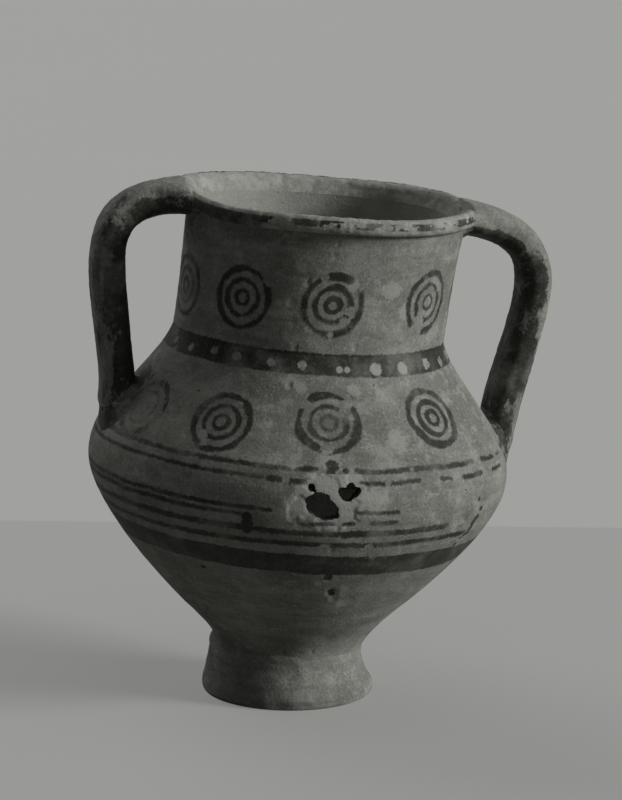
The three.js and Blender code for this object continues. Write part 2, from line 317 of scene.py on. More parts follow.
# belly: the thrown bowl, with three breaks through its wall
belly = {
    "breaks": [
        {"angle": -95.7, "rise": 90.4, "edge": [  # mm across and up from the break's middle
            (-8.2, 1.7), (-7.6, 3.8), (-4.3, 5.9), (-0.6, 6.3), (1.8, 5.6),
            (3.5, 3.4), (5.9, 1.1), (7.8, -1.3), (8.0, -3.4), (7.1, -5.3),
            (3.9, -5.9), (-1.0, -5.7), (-3.9, -3.8), (-6.5, -3.4), (-7.8, -0.8),
        ]},
        {"angle": -88.9, "rise": 97.4, "edge": [
            (-5.3, 0.0), (-4.7, 1.5), (-1.7, 2.0), (-0.6, 3.5), (1.9, 4.2),
            (3.1, 2.6), (5.2, 1.9), (5.4, 0.4), (4.6, -1.1), (2.9, -2.3),
            (1.2, -4.0), (-0.8, -4.5), (-2.9, -3.4), (-4.6, -1.5),
        ]},
        {"angle": -98.9, "rise": 98.6, "edge": [
            (-1.6, 0.4), (-0.9, 1.7), (0.6, 1.8), (1.6, 0.9), (1.5, -0.9), (0.2, -1.8), (-1.2, -1.3),
        ]},
    ],
    "crumble": 0.12, "crumbleSize": 2.2,  # how far a break's edge is worn back
    "ragged": 0.09, "raggedSize": 1.4,
    "innerEvery": 3,  # the inside has fewer rings away from the breaks
    "floorRise": 1.5, "floorPull": 2.5, "floorRun": 9.0,  # how the inside rounds into the floor
}


def breakReach(points, gap):
    angle = np.arctan2(points[:, 1], points[:, 0])
    off = (angle - math.radians(gap["angle"]) + math.pi) % (2 * math.pi) - math.pi
    across, up = off * o["girth"], points[:, 2] - gap["rise"]
    edge = np.array(gap["edge"])
    edgeTurn = np.arctan2(edge[:, 1], edge[:, 0])
    order = np.argsort(edgeTurn)
    reach = np.interp(np.arctan2(up, across), edgeTurn[order], np.hypot(*edge[order].T), period=2 * math.pi)
    return np.hypot(across, up) / (reach * (1 + belly["ragged"] * softNoise(points, belly["raggedSize"])))


def makeBelly():
    around, levels = len(columns), len(bellyLine)
    inner = inward(bellyLine, o["bodyWall"])
    inner[-1] = (o["turn"] - o["bodyWall"], jar["seam"])
    start = int(np.argmax(inner[:, 1] > o["floor"] + belly["floorRise"]))
    fine = bellyLine[:, 1] > jar["fineLow"]
    rows = [k for k in range(start, levels) if fine[k] or k % belly["innerEvery"] == 0 or k == start][::-1]
    twin = {row: levels + k for k, row in enumerate(rows)}  # the inner ring at an outer ring's level
    edge = inner[start]
    floorPull, floorEdge = edge[0] - belly["floorPull"], edge[0] - belly["floorRun"]
    floorLine = bend([edge, (floorPull, o["floor"]), (floorEdge, o["floor"])], 6)[1:]
    loop = np.vstack((bellyLine, inner[rows], floorLine))
    points, out = turnedPoints(loop)
    skin = np.repeat(np.arange(len(loop)) < levels, around).astype(float)
    moved = formed(points, out, skin)

    grid = np.arange(len(points)).reshape(len(loop), around)
    rings = points.reshape(len(loop), around, 3)[:levels]
    middle = (rings[:-1] + rings[1:]) / 2
    middle = ((middle + np.roll(middle, -1, axis=1)) / 2).reshape(-1, 3)
    reach = np.min([breakReach(middle, gap) for gap in belly["breaks"]], axis=0)
    gone = (reach < 1).reshape(levels - 1, around)
    keep = np.ones((len(loop) - 1, around), bool)
    walls = []
    for row, col in zip(*np.nonzero(gone)):
        keep[row, col] = False
        keep[twin[row + 1], col] = False
        ahead = (col + 1) % around
        sides = (
            (row - 1, col, (row, col), (row, ahead)),
            (row + 1, col, (row + 1, ahead), (row + 1, col)),
            (row, col - 1, (row + 1, col), (row, col)),
            (row, ahead, (row, ahead), (row + 1, ahead)),
        )
        for nearRow, nearCol, a, b in sides:
            if not gone[nearRow, nearCol]:
                walls.append((grid[a], grid[b], grid[twin[b[0]], b[1]], grid[twin[a[0]], a[1]]))

    lip = np.unique(walls)
    reaches = np.array([breakReach(points[lip], gap) for gap in belly["breaks"]])
    owner = np.abs(reaches - 1).argmin(axis=0)
    for k, gap in enumerate(belly["breaks"]):
        mine = lip[owner == k]
        flat = points[mine] - np.array(onWall(gap["angle"], gap["rise"]))
        flat -= out[mine] * np.sum(flat * out[mine], axis=1)[:, None]
        moved[mine] += flat * (1 / reaches[k][owner == k] - 1)[:, None]  # drawn to the broken outline
        crumble = skin[mine] * belly["crumble"] * (1 + softNoise(points[mine], belly["crumbleSize"]))
        moved[mine] -= out[mine] * crumble[:, None]

    poles = np.array([[jar["footShift"], 0, 0.0], [jar["footShift"], 0, o["floor"]]])
    low, high = len(points), len(points) + 1
    whole = gridFaces(len(loop), around)[keep].tolist()
    quads = whole + walls
    fans = capFan(0, low, around, False).tolist() + capFan(len(loop) - 1, high, around, True).tolist()
    used = np.unique(np.concatenate((np.ravel(quads), np.ravel(fans))))
    renumber = np.zeros(len(points) + 2, int)
    renumber[used] = np.arange(len(used))
    faces = renumber[quads].tolist() + renumber[fans].tolist()
    broken = np.repeat((0, 1, 0), (len(whole), len(walls), len(fans)))
    place = np.vstack((points, poles))[used]
    moved = np.vstack((moved, poles))[used]
    skin = np.r_[skin, 0, 0][used]
    return makePiece("belly_bowl", "belly", moved, faces, place, skin, broken)


def makeShell(name, node, outer, inner):
    inside = np.vstack((inner[:-1:2], inner[-1:]))[::-1]
    loop = np.vstack((outer, inside))
    points, out = turnedPoints(loop)
    skin = np.repeat(np.arange(len(loop)) < len(outer), len(columns)).astype(float)
    faces = loopFaces(loop)
    return makePiece(name, node, formed(points, out, skin), faces, points, skin)


def makeShoulder():
    inner = inward(shoulderLine, o["bodyWall"])
    inner[0] = (o["turn"] - o["bodyWall"], jar["seam"])
    inner[-1] = (o["neck"] - o["neckWall"], jar["neckSeat"])
    return makeShell("shoulder_cone", "shoulder", shoulderLine, inner)


def makeNeck():
    return makeShell("neck_cylinder", "neck", neckLine, neckLine - (o["neckWall"], 0))


# rim: the rolled lip, worn along its crest
rim = {
    "wave": 0.5, "waveSize": 26.0,
    "nick": 0.9, "nickSize": 4.6, "nickFrom": 0.42,
    "chip": 0.25, "chipSize": 1.7,
    "sideRise": 2.6, "crownInset": 0.6, "looseRise": 2.5,
    "underPull": (0.8, 0.4), "overPull": (0.2, 0.6), "innerPull": (0.6, 2.0),  # sideways and up or down
}


def makeRim():
    low, crest = jar["rimSeat"], jar["crest"]
    bore, seat, side = (o["bore"], low), (o["neckTop"], low), (o["rim"], low + rim["sideRise"])
    top = (o["crestRadius"] - rim["crownInset"], crest)
    under, over, inner = rim["underPull"], rim["overPull"], rim["innerPull"]
    loop = np.vstack((
        bend([bore, seat], 4),
        bend([seat, (o["rim"] - under[0], low - under[1]), side], 9)[1:],
        bend([side, (o["rim"] + over[0], crest - over[1]), top], 10)[1:],
        bend([top, mouthPull, mouthLow], 9)[1:],
        bend([mouthLow, (o["bore"] + inner[0], low + inner[1]), bore], 5)[1:-1],
    ))
    points, out = turnedPoints(loop)
    moved = formed(points, out, np.zeros(len(points)))
    along = np.roll(loop, -1, axis=0) - np.roll(loop, 1, axis=0)
    along /= np.hypot(*along.T)[:, None]
    facing = np.repeat(np.column_stack((along[:, 1], -along[:, 0])), len(columns), axis=0)
    normal = np.column_stack((out[:, :2] * facing[:, :1], facing[:, 1]))
    nicks = np.clip(softNoise(points, rim["nickSize"]) - rim["nickFrom"], 0, 1) / (1 - rim["nickFrom"])
    change = rim["wave"] * softNoise(points, rim["waveSize"]) - rim["nick"] * nicks
    change += rim["chip"] * softNoise(points, rim["chipSize"])
    loose = smooth(points[:, 2], low, low + rim["looseRise"])  # the lip stays on its seat
    moved += normal * (loose * change)[:, None]
    faces = loopFaces(loop)
    return makePiece("rim_lip", "rim", moved, faces, points, np.ones(len(points)))


# foot: level below, straight sided on the left, hollowed to a waist elsewhere
foot = {
    "radius": 41.4, "spread": 2.6, "edgeRound": 1.0, "ring": 9.0,
    "hollow": 15.0, "taper": 8.0, "eye": 2.0, "innerRise": 0.5, "innerRound": 0.6,
    "flarePull": 8.6, "waistPull": 9.6, "waistTrim": 0.2,
    "full": 2.9, "fullAngle": 186.0, "fullSpread": 46.0, "fullRise": (2, 16), "fullEnd": (0.5, -3.0),
    "wear": 0.45, "wearSize": 6.0, "wearRise": (0.2, 1.5), "looseRise": (0.2, 3.0),
    "outerFrom": (33, 35), "ground": 0.3,  # only the outside is painted, pitted and worn
}


def makeFoot():
    tall, around = jar["footHeight"], len(columns)
    edge, ring = foot["radius"] - foot["edgeRound"], foot["radius"] - foot["edgeRound"] - foot["ring"]
    waist = o["waist"] - foot["waistTrim"]
    roof, side = (ring - foot["taper"], foot["hollow"]), (foot["radius"], foot["spread"])
    inside, restEdge = (ring, foot["innerRise"]), (ring + foot["innerRound"], 0)
    loop = np.vstack((
        bend([(foot["eye"], foot["hollow"]), roof], 10),
        bend([roof, (ring, foot["hollow"]), inside], 12)[1:],
        bend([inside, (ring, 0), restEdge], 4)[1:],
        bend([restEdge, (edge, 0)], 5)[1:],
        bend([(edge, 0), (foot["radius"], 0), side], 6)[1:],
        bend([side, (foot["radius"], foot["flarePull"]), (waist, foot["waistPull"]), (waist, tall)], 20)[1:],
        bend([(waist, tall), (foot["eye"], tall)], 4)[1:],
    )) - (0, tall)
    points, out = turnedPoints(loop)
    height = points[:, 2] + tall
    angle = np.arctan2(points[:, 1], points[:, 0])
    outer = smooth(np.hypot(points[:, 0], points[:, 1]), *foot["outerFrom"]) * (height > foot["ground"])
    full = foot["full"] * hump(angle, foot["fullAngle"], foot["fullSpread"])
    full *= smooth(height, *foot["fullRise"]) * smooth(points[:, 2], *foot["fullEnd"])
    wear = foot["wear"] * softNoise(points, foot["wearSize"]) * smooth(height, *foot["wearRise"])
    grow = unevenness(points) * smooth(height, *foot["looseRise"]) + outer * (full + wear - pitDepth(points))
    moved = points + out * grow[:, None]
    poles = np.array([[0, 0, foot["hollow"] - tall], [0, 0, 0.0]])
    moved = np.vstack((moved, poles)) + (jar["footShift"], 0, 0)
    faces = gridFaces(len(loop), around).reshape(-1, 4).tolist()
    faces += capFan(0, len(points), around, False).tolist()
    faces += capFan(len(loop) - 1, len(points) + 1, around, True).tolist()
    skin = np.r_[outer, 0, 0]
    return makePiece("foot_pedestal", "foot", moved, faces, np.vstack((points, poles)), skin)


# luting coils: one smeared into the waist, one pressed along the seam inside
waistCoil = {
    "inner": 33.5, "low": -4.6, "high": 2.4, "swell": 1.6, "rows": 14,
    "lowInset": 0.6, "highOut": 0.1, "backRows": 4,
    "collar": 1.5, "lump": 0.3, "lumpSize": 5.0, "press": 0.7, "underFull": 0.8,
}
seamCoil = {
    "radius": 3.4, "tall": 1.5, "sink": 0.7, "rows": 16, "press": 0.9, "pressSize": 9.0, "pressMost": 0.6,
}


def makeWaistCoil():
    c = waistCoil
    swell = (o["waist"] + c["swell"], (c["low"] + c["high"]) / 2)
    low, high = (o["waist"] - c["lowInset"], c["low"]), (o["waist"] + c["highOut"], c["high"])
    back = bend([(c["inner"], c["high"]), (c["inner"], c["low"])], c["backRows"])
    loop = np.vstack((bend([low, swell, high], c["rows"]), back))
    points, out = turnedPoints(loop)
    angle = np.arctan2(points[:, 1], points[:, 0])
    side = hump(angle, foot["fullAngle"], foot["fullSpread"])  # fuller where the foot is
    flat = np.zeros(c["backRows"])
    belt = np.repeat(np.r_[np.sin(np.linspace(0, math.pi, c["rows"])), flat], len(columns))
    below = np.repeat(np.r_[np.linspace(1, 0, c["rows"]), flat], len(columns))
    lumps = c["lump"] * softNoise(points, c["lumpSize"])
    grow = unevenness(points) + below * foot["full"] * c["underFull"] * side
    grow += belt * (c["collar"] * side + lumps - c["press"])
    moved = points + out * grow[:, None]
    moved[:, 0] += jar["footShift"]
    faces = loopFaces(loop)
    skin = np.ones(len(points))
    return makePiece("waist_coil", "foot_luting_coil", moved, faces, points, skin)


def makeSeamCoil():
    c = seamCoil
    centre = inward(bellyLine, o["bodyWall"] + c["radius"] * c["sink"])[-1]
    turn = np.arange(c["rows"]) * 2 * math.pi / c["rows"]
    loop = centre + c["radius"] * np.column_stack((np.cos(turn), c["tall"] * np.sin(turn)))
    points, out = turnedPoints(loop)
    dents = c["press"] * np.clip(softNoise(points, c["pressSize"]), -c["pressMost"], c["pressMost"])
    moved = formed(points, out, np.zeros(len(points))) + out * dents[:, None]
    faces = loopFaces(loop)
    skin = np.zeros(len(points))
    return makePiece("seam_coil", "belly_luting_coil", moved, faces, points, skin)


# handles: pulled straps of squarish oval section, each along its own bow
handles = {
    "left": {
        "side": -1, "thickness": 16.6, "width": 22.8,
        "tipThin": 0.76, "tipSpread": 1.5, "tipRun": 0.13, "tipTwist": 1.0,
        "swell": 3.1, "swellAt": 0.926,  # fuller outside above the root
        "path": [  # side to side and rise
            (-61.5, 216.8), (-96.2, 213.4), (-109.0, 204.9), (-102.3, 176.3), (-88.0, 136.4), (-89.4, 102.3),
        ],
    },
    "right": {
        "side": 1, "thickness": 16.2, "width": 26.0,
        "tipThin": 0.95, "tipSpread": 1.6, "tipRun": 0.16, "tipTwist": 0.0,
        "swell": 2.0, "swellAt": 0.94,
        "path": [
            (68.5, 212.4), (106.4, 209.0), (122.9, 193.3), (109.7, 165.9), (94.6, 127.4), (97.4, 93.2),
        ],
    },
}
strap = {
    "square": 2.6, "tipSquare": 2.2, "stations": 190, "around": 72, "ahead": 0.002,
    "tuck": 0.38, "tuckRun": 0.018,  # the tip's top runs over the lip and down into it
    "swellRun": 0.045,
    "rootThin": 0.5, "rootSpread": 1.15, "rootRun": 0.84,
    "pull": 0.3, "pullSize": 5.0, "pullRun": 0.12,  # lengthwise finger marks
    "lump": 0.5, "lumpSize": 18.0,
    "chip": 0.16, "chipSize": 2.4,
    "deepest": 3.6,  # how far a strap's end sinks into the wall
    "unroll": 160.0, "apart": 1000.0, "lumpShift": 400.0,  # so that the two straps wear differently
}


def offWall(points):
    u, v, s = np.array(points, float).T
    s = s - lipRise(np.column_stack((u, v, s)))
    here = np.column_stack((np.hypot(u - sideways(s), v), s))
    best = np.full(len(here), 1e9)
    skinLine = np.vstack((wallLine, mouthLine[1:]))
    for start, stop in zip(skinLine[:-1], skinLine[1:]):
        step = stop - start
        share = np.clip(((here - start) @ step) / (step @ step), 0, 1)
        best = np.minimum(best, np.hypot(*(here - start - share[:, None] * step).T))
    within = (here[:, 0] < wallRadius(here[:, 1])) & (here[:, 0] > mouthRadius(here[:, 1]))
    return np.where(within & (here[:, 1] < jar["crest"]), -best, best)


def wallFacing(points):
    steps = jar["feel"] * np.eye(3)
    slope = np.column_stack([offWall(points + step) - offWall(points - step) for step in steps])
    return slope / np.maximum(np.linalg.norm(slope, axis=1), 1e-9)[:, None]


def strapSkin(handle, t, turn):
    spot = bendAt(handle["path"], t)
    ahead = strap["ahead"]
    along = (bendAt(handle["path"], t + ahead) - bendAt(handle["path"], t - ahead)) / (2 * ahead)
    pace = np.hypot(*along.T)
    along /= pace[:, None]
    over = handle["side"] * np.column_stack((-along[:, 1], along[:, 0]))  # away from the finger gap
    tip, root = 1 - smooth(t, 0, handle["tipRun"]), smooth(t, strap["rootRun"], 1)
    upper = np.cos(turn) > 0
    pared = (handle["tipThin"] - 1) * tip - strap["tuck"] * (1 - smooth(t, 0, strap["tuckRun"]))
    thick = handle["thickness"] / 2 * (1 + pared * upper + (strap["rootThin"] - 1) * root)
    thick += upper * handle["swell"] * np.exp(-((t - handle["swellAt"]) / strap["swellRun"]) ** 2)
    wide = handle["width"] / 2 * (1 + (handle["tipSpread"] - 1) * tip + (strap["rootSpread"] - 1) * root)
    power = 2 / (strap["square"] + strap["tipSquare"] * tip * upper)  # the tip is flatter above
    a = np.sign(np.cos(turn)) * np.abs(np.cos(turn)) ** power * thick
    b = np.sign(np.sin(turn)) * np.abs(np.sin(turn)) ** power * wide
    flat = spot + over * a[:, None]
    flat[:, 1] += handle["tipTwist"] * tip * b / handle["width"] * 2  # its back edge is the higher
    return {
        "points": np.column_stack((flat[:, 0], b, flat[:, 1])),
        "facing": np.column_stack((over[:, 0] * np.cos(turn), np.sin(turn), over[:, 1] * np.cos(turn))),
        "heading": np.column_stack((along[:, 0], 0 * pace, along[:, 1])),
        "unrolled": np.column_stack((b, a, t * strap["unroll"] + strap["apart"] * (handle["side"] > 0))),
        "pace": pace,
    }


def strapLumps(unrolled, side):
    here = unrolled + (0, 0, strap["lumpShift"] * (side + 2))
    marks = strap["pull"] * softNoise(here * (1, 1, strap["pullRun"]), strap["pullSize"])
    marks += strap["chip"] * softNoise(here, strap["chipSize"])
    return marks + strap["lump"] * softNoise(here, strap["lumpSize"])


def withEnds(array, around):
    return np.vstack((array, array[:around].mean(0), array[-around:].mean(0)))


def makeHandle(name):
    handle = handles[name]
    rows, around = strap["stations"], strap["around"]
    t = np.repeat(np.linspace(0, 1, rows), around)
    turn = np.tile(np.arange(around) * 2 * math.pi / around, rows)
    skin = strapSkin(handle, t, turn)
    points = skin["points"] + skin["facing"] * strapLumps(skin["unrolled"], handle["side"])[:, None]
    depth = offWall(points)
    sunk = depth < -strap["deepest"]
    points[sunk] -= wallFacing(points[sunk]) * (depth[sunk] + strap["deepest"])[:, None]
    flip = handle["side"] > 0
    faces = gridFaces(rows, around).reshape(-1, 4)
    faces = (faces[:, ::-1] if flip else faces).tolist()
    faces += capFan(0, len(points), around, flip).tolist()
    faces += capFan(rows - 1, len(points) + 1, around, not flip).tolist()
    allPoints, place = withEnds(points, around), withEnds(skin["unrolled"], around)
    outside = np.ones(len(allPoints))
    return makePiece(name + "_strap", name + "_handle", allPoints, faces, place, outside)


# luting wads: clay smeared into the corner between a strap's end and the wall
lute = {
    "around": 120, "samples": 160, "profile": 10, "settle": 4,
    "core": 2.2, "lapSink": 0.4, "rimSink": 1.2, "shoulderSink": 0.5,
    "rim": {"from": 0.34, "to": 0.0, "forward": 0.5},
    "shoulder": {"from": 0.62, "to": 1.0, "forward": 0.7},
    # under the strap, at its edges and above it
    "rimLap": (3.6, 8.0, 2.0), "rimSpread": (3.0, 7.0, 1.4), "rimFill": (0.3, 0.5, 0.5),
    "shoulderLap": (6.0, 8.0, 12.0), "shoulderSpread": (6.5, 7.0, 8.0), "shoulderFill": (0.3, 0.4, 0.72),
    "uneven": 0.35, "unevenSize": 8.0,
    "lump": 0.5, "lumpSize": 6.0,
}


def makeLuting(name, end):
    handle, joint = handles[name], lute[end]
    count, samples = lute["around"], lute["samples"]
    turn = np.arange(count) * 2 * math.pi / count
    marks = np.linspace(joint["from"], joint["to"], samples)
    gap = offWall(strapSkin(handle, np.tile(marks, count), np.repeat(turn, samples))["points"])
    gap = gap.reshape(count, samples)
    meet = np.where((gap < 0).any(axis=1), (gap < 0).argmax(axis=1), samples - 1)
    before = np.maximum(meet - 1, 0)
    each = np.arange(count)
    fall = gap[each, before] - gap[each, meet]
    share = np.clip(gap[each, before] / np.maximum(fall, 1e-6), 0, 1)
    meetAt = marks[before] + (marks[meet] - marks[before]) * share  # where the strap's skin enters the wall
    skin = strapSkin(handle, meetAt, turn)
    corner = skin["points"]
    way = np.sign(joint["to"] - joint["from"])
    loose = 1 + lute["uneven"] * softNoise(corner, lute["unevenSize"])
    amounts = [np.interp(np.cos(turn), (-1, 0, 1), lute[end + part]) for part in ("Lap", "Spread", "Fill")]
    lapSize, spreadSize, fill = amounts
    lapAt = np.clip(meetAt - way * lapSize * loose / skin["pace"], 0, 1)
    lap = strapSkin(handle, lapAt, turn)
    lifted = strapLumps(lap["unrolled"], handle["side"]) - lute["lapSink"]
    lapped = lap["points"] + lap["facing"] * lifted[:, None]
    wallOut = wallFacing(corner)
    away = skin["facing"] + joint["forward"] * way * skin["heading"]
    away -= wallOut * np.sum(away * wallOut, axis=1)[:, None]
    away /= np.maximum(np.linalg.norm(away, axis=1), 1e-6)[:, None]
    spread = corner + away * (spreadSize * loose)[:, None]
    for _ in range(lute["settle"]):
        spread = spread - wallFacing(spread) * (offWall(spread) + lute[end + "Sink"])[:, None]
    between = (lapped + spread) / 2
    outward = skin["facing"] / np.linalg.norm(skin["facing"], axis=1)[:, None] + wallOut
    outward /= np.maximum(np.linalg.norm(outward, axis=1), 1e-6)[:, None]
    pull = corner + fill[:, None] * (between - corner)
    t = np.linspace(0, 1, lute["profile"])[:, None, None]
    cover = (1 - t) ** 2 * lapped + 2 * t * (1 - t) * pull + t * t * spread
    lumps = np.stack([softNoise(row, lute["lumpSize"]) for row in cover])[..., None]
    cover = cover + outward * np.sin(math.pi * t) * lute["lump"] * lumps
    rows = np.vstack((cover, (corner - outward * lute["core"])[None]))
    points = rows.reshape(-1, 3)
    faces = gridFaces(len(rows), count, closed=True).reshape(-1, 4)
    a, b, c = points[faces[4 * count][:3]]
    if np.dot(np.cross(b - a, c - b), outward[0]) < 0:
        faces = faces[:, ::-1]
    node = f"{name}_handle_{end}_luting"
    return makePiece(f"{name}_{end}_lute", node, points, faces, points, np.ones(len(points)))


pieces = {
    "belly": makeBelly(), "shoulder": makeShoulder(), "neck": makeNeck(),
    "rim": makeRim(), "foot": makeFoot(),
}
print("jar: turned pieces made")
pieces["waistCoil"], pieces["seamCoil"] = makeWaistCoil(), makeSeamCoil()
for name in handles:
    pieces[name] = makeHandle(name)
    for end in ("rim", "shoulder"):
        pieces[f"{name} {end}"] = makeLuting(name, end)
print("jar: coils, handles and luting made")


# node helpers for the finishes
def wire(tree, kind, inputs=(), out=0, **settings):
    made = tree.nodes.new("ShaderNode" + kind)
    for key, value in settings.items():
        setattr(made, key, value)
    for place, value in enumerate(inputs):
        if isinstance(value, bpy.types.NodeSocket):
            tree.links.new(value, made.inputs[place])
        elif value is not None:
            made.inputs[place].default_value = value
    return made.outputs[out]


def calc(tree, operation, *values):
    return wire(tree, "Math", values, operation=operation)


def product(tree, *values):
    total = values[0]
    for value in values[1:]:
        total = calc(tree, "MULTIPLY", total, value)
    return total


def ease(tree, value, low, high):
    return wire(tree, "MapRange", (value, low, high, 0.0, 1.0), interpolation_type="SMOOTHSTEP")


def tint(tree, amount, under, over):
    return wire(tree, "Mix", (amount, None, None, None, None, None, under, over), out=2, data_type="RGBA")


def times(tree, place, stretch):
    return wire(tree, "VectorMath", (place, stretch), operation="MULTIPLY")


def cloud(tree, place, size, detail=2.0, rough=0.5, shift=0.0):
    moved = wire(tree, "VectorMath", (place, (shift, shift * 0.7, shift * 1.3)), operation="ADD")
    return wire(tree, "TexNoise", (moved, None, 1 / size, detail, rough))


def swing(tree, noise, reach):
    return calc(tree, "MULTIPLY_ADD", noise, 2 * reach, -reach)


def most(tree, masks):
    top = masks[0]
    for mask in masks[1:]:
        top = calc(tree, "MAXIMUM", top, mask)
    return top


def nearest(tree, place, spots):
    best = None
    for spot in spots:
        gap = wire(tree, "VectorMath", (place, onWall(spot[0], spot[1])), out=1, operation="DISTANCE")
        if len(spot) > 2:
            gap = calc(tree, "DIVIDE", gap, spot[2])
        best = gap if best is None else calc(tree, "MINIMUM", best, gap)
    return best


def around(tree, place):
    split = wire(tree, "SeparateXYZ", (place,)).node.outputs
    angle = product(tree, calc(tree, "ARCTAN2", split[1], split[0]), 180 / math.pi)
    return angle, split[2]


tones = {
    "buff": (0.204, 0.203, 0.183, 1), "deepBuff": (0.134, 0.132, 0.117, 1),
    "paleBuff": (0.269, 0.269, 0.245, 1), "dustAndLitPale": (0.344, 0.345, 0.319, 1),
    "core": (0.299, 0.299, 0.274, 1), "paintedShadeInBreaks": (0.030, 0.029, 0.025, 1),
    "paint": (0.018, 0.018, 0.014, 1), "thinPaint": (0.086, 0.084, 0.071, 1),
    "soot": (0.042, 0.041, 0.034, 1),
}
clay = {
    "noises": {  # size in mm, detail, roughness, shift
        "patches": (48.0, 4.0, 0.55, 0.0), "mottles": (9.0, 6.0, 0.64, 31.0), "grain": (1.2, 4.0, 0.62, 77.0),
        "streaks": (4.5, 4.0, 0.6, 19.0), "stains": (17.0, 7.0, 0.7, 83.0), "crust": (13.0, 8.0, 0.74, 41.0),
        "specks": (2.6, 2.0, 0.6, 13.0), "pocks": (3.1, 2.0, 0.6, 57.0),
    },
    "streakRun": (0.14, 0.14, 1.0),  # streaks run round the jar
    "layers": [  # noise, none at, full at, share, tone
        ("patches", 0.34, 0.62, 1.0, "buff"),
        ("mottles", 0.48, 0.66, 0.75, "paleBuff"), ("mottles", 0.47, 0.32, 0.7, "deepBuff"),
        ("streaks", 0.50, 0.66, 0.5, "deepBuff"), ("streaks", 0.48, 0.34, 0.35, "paleBuff"),
        ("stains", 0.54, 0.66, 0.5, "deepBuff"), ("crust", 0.58, 0.66, 0.5, "dustAndLitPale"),
        ("grain", 0.52, 0.74, 0.55, "dustAndLitPale"), ("grain", 0.46, 0.26, 0.55, "soot"),
        ("specks", 0.70, 0.76, 0.8, "dustAndLitPale"), ("pocks", 0.71, 0.77, 0.85, "soot"),
    ],
    "relief": {"mottles": 0.7, "grain": 0.55, "streaks": 0.4}, "pockRelief": -0.5, "paintRelief": 0.2,
    "wearSize": 15.0, "flakeSize": 1.7, "flakes": 1.7, "holds": (0.06, 0.90),
    "fadeSize": 19.0, "fadeFrom": (0.46, 0.66), "fade": 0.5,  # how far the paint has gone thin in places
    "blotsFrom": (1.1, 1.5), "thinFrom": (0.44, 0.70), "dryFrom": (0.50, 0.70), "thin": 0.38,
    "cover": 0.97, "breakDark": 0.9, "bareRough": 0.9, "paintRough": 0.7,
    "bumpHeight": 0.0007, "bumpStrength": 0.6, "gloss": 0.18,
}


def clayGround(tree, place):
    noises = {}
    for name, settings in clay["noises"].items():
        here = times(tree, place, clay["streakRun"]) if name == "streaks" else place
        noises[name] = cloud(tree, here, *settings)
    colour, masks = tones["deepBuff"], {}
    for name, low, high, amount, tone in clay["layers"]:
        masks[name] = ease(tree, noises[name], low, high)
        colour = tint(tree, product(tree, masks[name], amount), colour, tones[tone])
    relief = product(tree, masks["pocks"], clay["pockRelief"])
    for name, amount in clay["relief"].items():
        relief = calc(tree, "MULTIPLY_ADD", noises[name], amount, relief)
    return colour, relief, noises["mottles"]


def wornPaint(tree, place, paint, worn):
    broad = cloud(tree, place, clay["wearSize"], 6.0, 0.68, 91.0)
    fine = cloud(tree, place, clay["flakeSize"], 5.0, 0.7, 45.0)
    lost = calc(tree, "ADD", swing(tree, broad, worn), swing(tree, fine, worn * clay["flakes"]))
    return ease(tree, calc(tree, "SUBTRACT", paint, lost), *clay["holds"]), fine


def finishClay(name, paintFor, worn=0.5, within=0.0):
    material = bpy.data.materials.new(name)
    material.use_nodes = True
    tree = material.node_tree
    tree.nodes.clear()
    place = wire(tree, "Attribute", out=1, attribute_name="potter")
    outside = wire(tree, "Attribute", out=2, attribute_name="outside")
    colour, relief, mottles = clayGround(tree, place)
    paint, bare = paintFor(tree, place)
    if bare is not None:
        colour = tint(tree, product(tree, bare, outside), colour, tones["core"])
    # the inside is tinted paler: partly a pale inner surface, partly painted light for the lit inside of the
    # mouth
    if within > 0:
        inside = calc(tree, "SUBTRACT", 1.0, outside)
        colour = tint(tree, product(tree, inside, within), colour, tones["dustAndLitPale"])
    held, dry = wornPaint(tree, place, paint, worn)
    faint = ease(tree, cloud(tree, place, clay["fadeSize"], 4.0, 0.62, 37.0), *clay["fadeFrom"])
    faint = without(tree, faint, ease(tree, paint, *clay["blotsFrom"]))  # thick blots stay dark
    held = without(tree, held, product(tree, faint, clay["fade"]))
    kept = product(tree, held, outside)
    thin = calc(tree, "ADD", ease(tree, mottles, *clay["thinFrom"]), ease(tree, dry, *clay["dryFrom"]))
    ink = tint(tree, product(tree, thin, clay["thin"]), tones["paint"], tones["thinPaint"])
    colour = tint(tree, product(tree, kept, clay["cover"]), colour, ink)
    # the faces of a break are tinted near black: painted shade for the unlit wall inside the holes
    broken = wire(tree, "Attribute", out=2, attribute_name="broken")
    colour = tint(tree, product(tree, broken, clay["breakDark"]), colour, tones["paintedShadeInBreaks"])
    relief = calc(tree, "MULTIPLY_ADD", kept, clay["paintRelief"], relief)
    bump = tree.nodes.new("ShaderNodeBump")
    bump.inputs["Strength"].default_value = clay["bumpStrength"]
    bump.inputs["Distance"].default_value = clay["bumpHeight"]
    tree.links.new(relief, bump.inputs["Height"])
    shader = tree.nodes.new("ShaderNodeBsdfPrincipled")
    shader.inputs["Specular IOR Level"].default_value = clay["gloss"]
    tree.links.new(colour, shader.inputs["Base Color"])
    rough = wire(tree, "MapRange", (kept, 0.0, 1.0, clay["bareRough"], clay["paintRough"]))
    tree.links.new(rough, shader.inputs["Roughness"])
    tree.links.new(bump.outputs["Normal"], shader.inputs["Normal"])
    finish = tree.nodes.new("ShaderNodeOutputMaterial")
    tree.links.new(shader.outputs["BSDF"], finish.inputs["Surface"])
    return material


